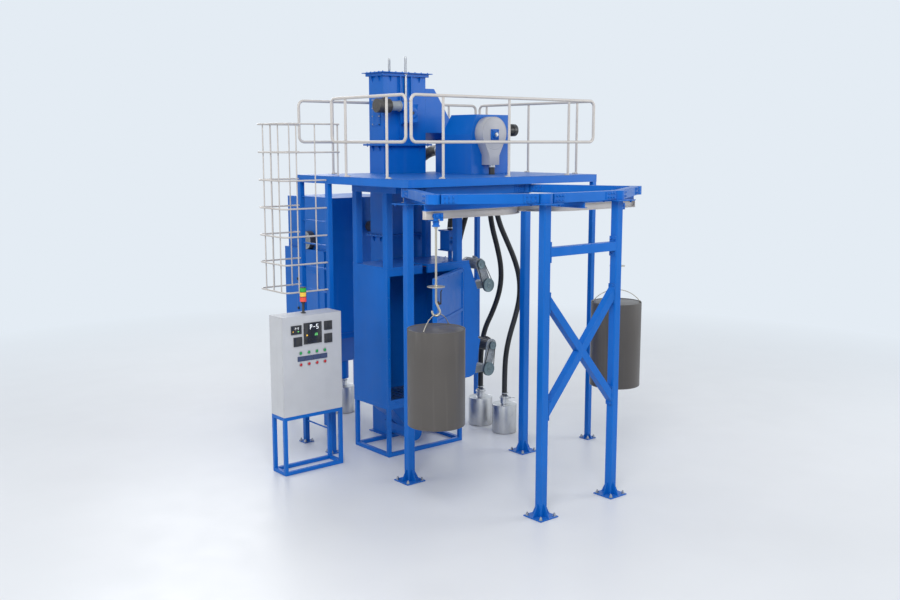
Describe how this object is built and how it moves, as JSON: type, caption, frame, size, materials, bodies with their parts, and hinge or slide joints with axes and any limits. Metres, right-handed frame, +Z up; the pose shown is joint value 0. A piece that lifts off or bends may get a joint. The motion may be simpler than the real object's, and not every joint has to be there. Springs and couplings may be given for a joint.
{
  "type": "hook-type shot blasting machine",
  "caption": "Blast cabinet with an overhead rail gantry for hung loads, a bucket elevator, a separator on a railed platform, a dust collector and a control panel.",
  "frame": {"origin": "on the floor, under the middle of the cabinet's front foot rail", "axes": "+X to the machine's right, +Y from the gantry back to the dust collector, +Z up"},
  "size_m": [4.309, 5.954, 5.375],
  "materials": {
    "blue_paint": "satin machine enamel",
    "rail_paint": "satin primer grey",
    "handrail_paint": "satin light grey",
    "panel_paint": "fine textured powder coat",
    "drum_paint": "matt dark grey",
    "tailings_paint": "satin light grey",
    "motor_paint": "satin black",
    "bright_steel": "brushed",
    "bin_steel": "brushed",
    "sheave_iron": "machined cast iron",
    "wear_plate": "brown manganese plate",
    "hose_rubber": "matt rubber",
    "belt_rubber": "matt rubber",
    "display_black": "gloss",
    "lamp_lens": "glossy coloured lens"
  },
  "bodies": {
    "machine_frame": {"access_ladder": "blue_paint", "cabinet_shell": "blue_paint", "ceiling_liner": "wear_plate", "collecting_bins": "bin_steel", "collecting_hopper": "blue_paint", "collector_body": "blue_paint", "collector_fan": "motor_paint", "collector_legs": "blue_paint", "deck_beams": "blue_paint", "deck_supports": "blue_paint", "door_frame": "blue_paint", "drive_belts": "belt_rubber", "drive_housings": "blue_paint", "drive_motors": "motor_paint", "dust_duct": "motor_paint", "elevator_casing": "blue_paint", "elevator_chute": "blue_paint", "elevator_gearmotor": "blue_paint", "foot_frame": "blue_paint", "front_bin_hose": "hose_rubber", "gantry_braces": "blue_paint", "gantry_columns": "blue_paint", "guard_rails": "handrail_paint", "hose_spigots": "blue_paint", "ladder_cage": "handrail_paint", "panel_enclosure": "panel_paint", "panel_stand": "blue_paint", "platform_deck": "blue_paint", "rail_bends": "rail_paint", "rail_carriers": "blue_paint", "rear_bin_hose": "hose_rubber", "ring_beams": "blue_paint", "running_rail": "rail_paint", "screw_trough": "blue_paint", "separator_drive": "motor_paint", "separator_housing": "blue_paint", "shot_valve": "blue_paint", "slotted_floor": "bright_steel", "stack_light": "lamp_lens", "tailings_housing": "tailings_paint", "take_up_screws": "bright_steel", "valve_hose": "hose_rubber", "wheel_hose": "hose_rubber", "wheel_pockets": "blue_paint"},
    "door_leaf": {"blast_door": "blue_paint"},
    "left_trolley_body": {"left_trolley": "blue_paint"},
    "right_trolley_body": {"right_trolley": "blue_paint"},
    "left_hanger": {"left_hook": "bright_steel", "left_drum": "drum_paint"},
    "right_hanger": {"right_hook": "bright_steel", "right_drum": "drum_paint"},
    "upper_wheel_shaft": {"upper_wheel_pulley": "sheave_iron"},
    "upper_motor_shaft": {"upper_motor_pulley": "sheave_iron"},
    "lower_wheel_shaft": {"lower_wheel_pulley": "sheave_iron"},
    "lower_motor_shaft": {"lower_motor_pulley": "sheave_iron"},
    "panel_leaf": {"panel_door": "panel_paint", "panel_displays": "display_black", "panel_lamps": "lamp_lens"}
  },
  "joints": [
    {"name": "door_swing", "type": "hinge", "parent": "machine_frame", "child": "door_leaf", "pos_m": [0.628, -0.066, 1.622], "axis": [0, 0, 1], "range_deg": [-33, 57]},
    {"name": "left_trolley_roll", "type": "slide", "parent": "machine_frame", "child": "left_trolley_body", "axis": [1, 0, 0], "range_m": [-0.08, 0.86]},
    {"name": "right_trolley_roll", "type": "slide", "parent": "machine_frame", "child": "right_trolley_body", "axis": [1, 0, 0], "range_m": [-0.74, 0.2]},
    {"name": "left_hanger_turn", "type": "hinge", "parent": "left_trolley_body", "child": "left_hanger", "pos_m": [-1.54, -2.175, 3.2], "axis": [0, 0, 1], "continuous": true},
    {"name": "right_hanger_turn", "type": "hinge", "parent": "right_trolley_body", "child": "right_hanger", "pos_m": [1.42, -2.175, 3.2], "axis": [0, 0, 1], "continuous": true},
    {"name": "upper_wheel_spin", "type": "hinge", "parent": "machine_frame", "child": "upper_wheel_shaft", "pos_m": [1.131, -0.04, 2.191], "axis": [0, 1, 0], "continuous": true},
    {"name": "upper_motor_spin", "type": "hinge", "parent": "machine_frame", "child": "upper_motor_shaft", "pos_m": [0.992, -0.04, 2.5], "axis": [0, 1, 0], "continuous": true},
    {"name": "lower_wheel_spin", "type": "hinge", "parent": "machine_frame", "child": "lower_wheel_shaft", "pos_m": [1.145, -0.04, 0.972], "axis": [0, 1, 0], "continuous": true},
    {"name": "lower_motor_spin", "type": "hinge", "parent": "machine_frame", "child": "lower_motor_shaft", "pos_m": [1.219, -0.04, 1.305], "axis": [0, 1, 0], "continuous": true},
    {"name": "panel_door_swing", "type": "hinge", "parent": "machine_frame", "child": "panel_leaf", "pos_m": [-2.1, 0.181, 1.401], "axis": [0, 0, 1], "range_deg": [-110, 0]}
  ],
  "couplings": [
    {"joint": "upper_motor_spin", "follows": "upper_wheel_spin", "ratio": 1.5289},
    {"joint": "lower_motor_spin", "follows": "lower_wheel_spin", "ratio": 1.7619}
  ]
}
